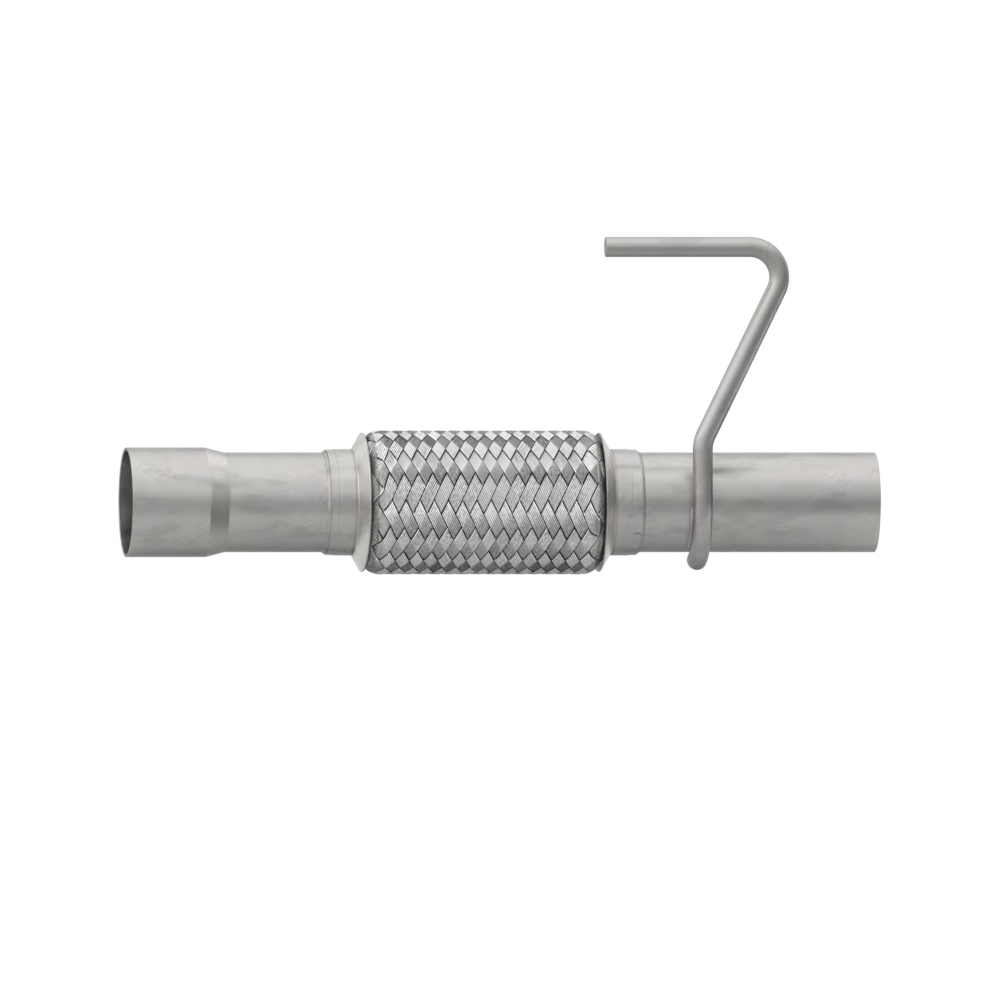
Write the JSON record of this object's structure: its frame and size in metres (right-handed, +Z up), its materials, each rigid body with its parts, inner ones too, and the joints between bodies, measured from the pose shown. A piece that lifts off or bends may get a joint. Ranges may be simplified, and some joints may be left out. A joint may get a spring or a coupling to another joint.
{
  "type": "intermediate exhaust pipe",
  "caption": "Straight exhaust pipe with a widened inlet socket, a braided flexible coupling between flared end caps, and a bent rod hanger on the outlet pipe.",
  "frame": {"origin": "centre of the inlet face, on the pipe's axis", "axes": "+X along the pipe from inlet to outlet, +Z up towards the hanger's arm"},
  "size_m": [0.3788, 0.0722, 0.1691],
  "materials": {
    "tube_steel": "satin stainless tube, bare",
    "cap_steel": "satin pressed stainless sheet, bare",
    "weld_metal": "fine-rippled weld bead, bare",
    "bellows_steel": "bright thin stainless sheet",
    "liner_steel": "wound stainless strip",
    "braid_wire": "bright drawn stainless wire, woven",
    "rod_steel": "drawn steel rod, bare"
  },
  "bodies": {
    "inlet_side": {"inlet_pipe": "tube_steel", "inlet_weld": "weld_metal", "inlet_end_cap": "cap_steel", "outer_braid": "braid_wire", "bellows_outer_ply": "bellows_steel", "bellows_inner_ply": "bellows_steel", "inner_liner": "liner_steel"},
    "outlet_side": {"outlet_end_cap": "cap_steel", "outlet_weld": "weld_metal", "outlet_pipe": "tube_steel", "hanger_rod": "rod_steel", "hanger_weld_inlet_side": "weld_metal", "hanger_weld_outlet_side": "weld_metal"}
  },
  "joints": [
    {"name": "flex_bend", "type": "hinge", "parent": "inlet_side", "child": "outlet_side", "pos_m": [0.17935, 0, 0], "axis": [0, 1, 0], "range_deg": [-8, 8], "stiffness_Nm_per_rad": 60, "deforming": ["outer_braid", "bellows_outer_ply", "bellows_inner_ply", "inner_liner"]}
  ]
}
